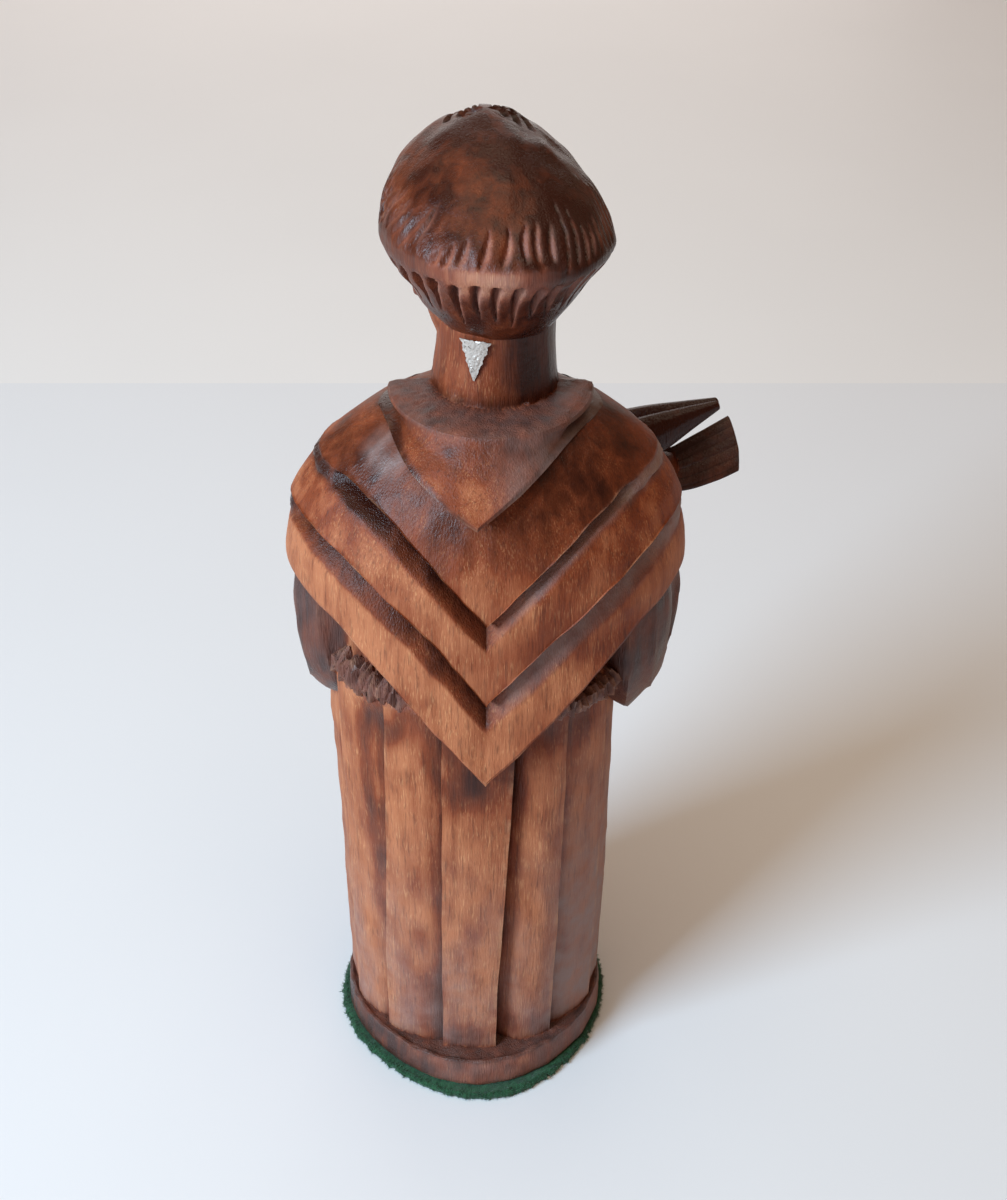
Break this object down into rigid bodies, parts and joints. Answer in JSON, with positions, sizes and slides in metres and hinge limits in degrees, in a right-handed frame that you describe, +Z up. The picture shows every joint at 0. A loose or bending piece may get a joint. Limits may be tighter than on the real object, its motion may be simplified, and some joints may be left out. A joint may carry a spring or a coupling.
{
  "type": "wooden saint statue",
  "caption": "Carved wooden statue of a friar in a hooded cape and a pleated, rope-tied habit, holding a dove, on a round plinth with a felt pad.",
  "frame": {"origin": "centre of the felt pad's underside, where the statue stands", "axes": "+Z up, the figure faces -Y, its own left side is +X"},
  "size_m": [0.1342, 0.1064, 0.2999],
  "materials": {
    "wood": "stained reddish brown and varnished to a half gloss, with tool marks",
    "felt": "green glued felt with a fuzzy cut edge",
    "foil": "crinkled silver foil, plain"
  },
  "bodies": {
    "root": {"carved_saint": "wood", "felt_pad": "felt", "foil_seal": "foil"}
  },
  "joints": []
}
